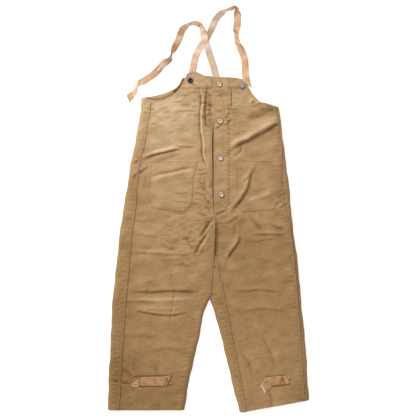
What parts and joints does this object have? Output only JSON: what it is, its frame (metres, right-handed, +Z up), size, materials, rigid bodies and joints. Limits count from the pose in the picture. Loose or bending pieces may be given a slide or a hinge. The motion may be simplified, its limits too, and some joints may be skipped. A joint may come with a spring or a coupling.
{
  "type": "bib overall trousers",
  "caption": "Bib-front work trousers laid flat, with a buttoned fly, crossed webbing shoulder straps, patch pockets and ankle tabs.",
  "frame": {"origin": "middle of the box around the laid-out trousers, on the surface that they lie on", "axes": "+Y from the hems to the bib along the length, +Z up from the surface out of the front, +X to the wearer's left"},
  "size_m": [0.7638, 1.5465, 0.0291],
  "materials": {
    "corded_cotton": "matte corded cotton, faded and worn",
    "inside_cotton": "matte cotton, the unfaded inside",
    "webbing": "matte herringbone webbing",
    "copper_plate": "worn copper plate",
    "dark_steel": "tarnished, blue-black"
  },
  "bodies": {
    "trousers": {"front_panel_right": "corded_cotton", "back_panel_right": "corded_cotton", "side_seam_right": "corded_cotton", "inseam_right": "corded_cotton", "pocket_right": "corded_cotton", "bib_band_right": "corded_cotton", "strap_rear_right": "webbing", "strap_button_right_tack": "dark_steel", "front_panel_left": "corded_cotton", "back_panel_left": "corded_cotton", "side_seam_left": "corded_cotton", "inseam_left": "corded_cotton", "pocket_left": "corded_cotton", "bib_band_left": "corded_cotton", "strap_rear_left": "webbing", "strap_button_left_tack": "dark_steel", "fly_placket": "corded_cotton", "fly_underlap": "inside_cotton", "back_facing": "inside_cotton", "fly_button_1_tack": "dark_steel", "fly_button_2_tack": "dark_steel", "fly_button_3_tack": "dark_steel", "fly_button_4_tack": "dark_steel"},
    "shin_right": {"front_panel_right_lower": "corded_cotton", "back_panel_right_lower": "corded_cotton", "side_seam_right_lower": "corded_cotton", "inseam_right_lower": "corded_cotton", "hem_right": "corded_cotton", "leg_stud_inner_right": "dark_steel", "leg_stud_outer_right": "dark_steel"},
    "shin_left": {"front_panel_left_lower": "corded_cotton", "back_panel_left_lower": "corded_cotton", "side_seam_left_lower": "corded_cotton", "inseam_left_lower": "corded_cotton", "hem_left": "corded_cotton", "leg_stud_inner_left": "dark_steel", "leg_stud_outer_left": "dark_steel"},
    "tab_right": {"ankle_tab_right": "webbing"},
    "tab_left": {"ankle_tab_left": "webbing"},
    "strap_right": {"strap_front_right": "webbing"},
    "strap_left": {"strap_front_left": "webbing"},
    "strap_button_right": {"strap_button_right_cap": "dark_steel"},
    "strap_button_left": {"strap_button_left_cap": "copper_plate"},
    "fly_button_1": {"fly_button_1_cap": "copper_plate"},
    "fly_button_2": {"fly_button_2_cap": "copper_plate"},
    "fly_button_3": {"fly_button_3_cap": "copper_plate"},
    "fly_button_4": {"fly_button_4_cap": "copper_plate"}
  },
  "joints": [
    {"name": "right_knee_fold", "type": "hinge", "parent": "trousers", "child": "shin_right", "pos_m": [-0.195, -0.414, 0.026], "axis": [-1, 0, 0], "range_deg": [0, 150]},
    {"name": "left_knee_fold", "type": "hinge", "parent": "trousers", "child": "shin_left", "pos_m": [0.195, -0.414, 0.026], "axis": [-1, 0, 0], "range_deg": [0, 150]},
    {"name": "right_tab_lift", "type": "hinge", "parent": "shin_right", "child": "tab_right", "pos_m": [-0.1499, -0.654, 0.0224], "axis": [0, 1, 0], "range_deg": [0, 150]},
    {"name": "left_tab_lift", "type": "hinge", "parent": "shin_left", "child": "tab_left", "pos_m": [0.2881, -0.649, 0.0224], "axis": [-0.0785, 0.9969, 0], "range_deg": [0, 150]},
    {"name": "right_strap_swing", "type": "hinge", "parent": "trousers", "child": "strap_right", "pos_m": [-0.0979, 0.6877, 0.0021], "axis": [-0.669, 0.7433, 0], "range_deg": [0, 120]},
    {"name": "left_strap_swing", "type": "hinge", "parent": "trousers", "child": "strap_left", "pos_m": [0.1064, 0.7722, 0.0021], "axis": [-1, 0, 0], "range_deg": [0, 120]},
    {"name": "fly_button_1_swivel", "type": "hinge", "parent": "trousers", "child": "fly_button_1", "pos_m": [0.041, 0.4727, 0.0245], "axis": [0, 0, 1], "continuous": true},
    {"name": "fly_button_2_swivel", "type": "hinge", "parent": "trousers", "child": "fly_button_2", "pos_m": [0.0445, 0.3329, 0.0245], "axis": [0, 0, 1], "continuous": true},
    {"name": "fly_button_3_swivel", "type": "hinge", "parent": "trousers", "child": "fly_button_3", "pos_m": [0.0452, 0.1919, 0.0245], "axis": [0, 0, 1], "continuous": true},
    {"name": "fly_button_4_swivel", "type": "hinge", "parent": "trousers", "child": "fly_button_4", "pos_m": [0.0486, 0.054, 0.0245], "axis": [0, 0, 1], "continuous": true},
    {"name": "right_strap_button_swivel", "type": "hinge", "parent": "trousers", "child": "strap_button_right", "pos_m": [-0.0692, 0.4872, 0.0245], "axis": [0, 0, 1], "continuous": true},
    {"name": "left_strap_button_swivel", "type": "hinge", "parent": "trousers", "child": "strap_button_left", "pos_m": [0.1262, 0.4682, 0.0245], "axis": [0, 0, 1], "continuous": true}
  ]
}
